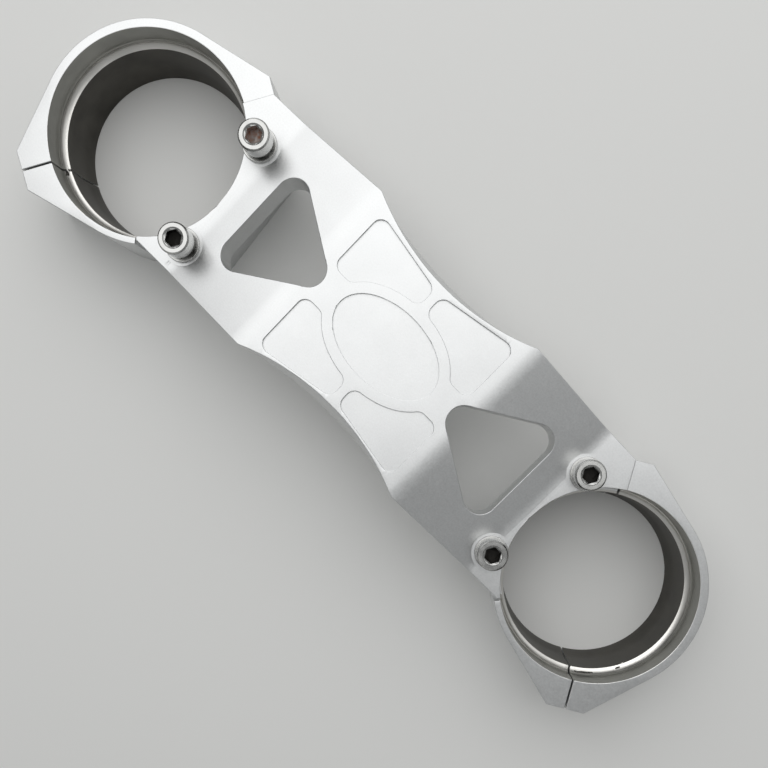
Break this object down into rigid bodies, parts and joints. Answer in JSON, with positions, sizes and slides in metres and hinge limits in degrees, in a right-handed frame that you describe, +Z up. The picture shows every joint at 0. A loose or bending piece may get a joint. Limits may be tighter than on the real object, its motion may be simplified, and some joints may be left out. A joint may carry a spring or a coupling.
{
  "type": "fork brace",
  "caption": "Bolted fork brace: a raised bridge with windows and shallow pockets joins split clamp rings that close round a motorbike's fork legs.",
  "frame": {"origin": "midway between the two fork centres, on the plane that the clamp rings stand on", "axes": "+X from the left clamp to the right clamp, +Y towards the front edge of the bridge, +Z up through the bridge, along the forks"},
  "size_m": [0.23, 0.0664, 0.036],
  "materials": {
    "satin_aluminium": "bead blasted satin, clear anodised",
    "screw_steel": "bright stainless steel, a little dull in the sockets",
    "washer_steel": "stamped stainless steel"
  },
  "bodies": {
    "root": {"bridge": "satin_aluminium", "left_clamp_base": "satin_aluminium", "left_clamp_cap": "satin_aluminium", "right_clamp_base": "satin_aluminium", "right_clamp_cap": "satin_aluminium", "left_front_washer": "washer_steel", "left_rear_washer": "washer_steel", "right_front_washer": "washer_steel", "right_rear_washer": "washer_steel", "left_front_bridge_screw": "screw_steel", "left_rear_bridge_screw": "screw_steel", "right_front_bridge_screw": "screw_steel", "right_rear_bridge_screw": "screw_steel", "left_front_pinch_screw": "screw_steel", "left_rear_pinch_screw": "screw_steel", "right_front_pinch_screw": "screw_steel", "right_rear_pinch_screw": "screw_steel"}
  },
  "joints": []
}
